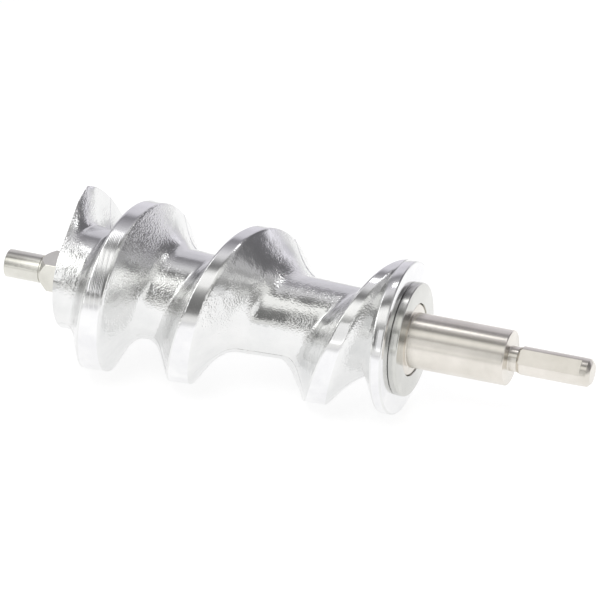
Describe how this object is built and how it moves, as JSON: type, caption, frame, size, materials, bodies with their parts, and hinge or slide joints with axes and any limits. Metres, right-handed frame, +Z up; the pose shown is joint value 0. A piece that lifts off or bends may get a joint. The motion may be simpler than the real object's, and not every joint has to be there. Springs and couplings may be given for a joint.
{
  "type": "meat grinder feed worm",
  "caption": "Tapered helical feed worm of a hand meat grinder, with a steel drive shaft, a loose thrust washer and a square knife stud.",
  "frame": {"origin": "on the axis, in the plane of the washer's thrust face", "axes": "+X along the axis to the rear (crank end), +Z up, +Y completes a right-handed frame"},
  "size_m": [0.1732, 0.0505, 0.0501],
  "materials": {
    "cast_alloy": "bright tumbled casting with a finely turned outside",
    "shaft_steel": "turned and polished",
    "washer_steel": "polished faces",
    "stud_steel": "turned"
  },
  "bodies": {
    "worm": {"worm_casting": "cast_alloy", "drive_shaft": "shaft_steel", "knife_stud": "stud_steel"},
    "washer": {"thrust_washer": "washer_steel"}
  },
  "joints": [
    {"name": "washer_turn", "type": "hinge", "parent": "worm", "child": "washer", "pos_m": [0, 0, 0], "axis": [1, 0, 0], "continuous": true}
  ]
}
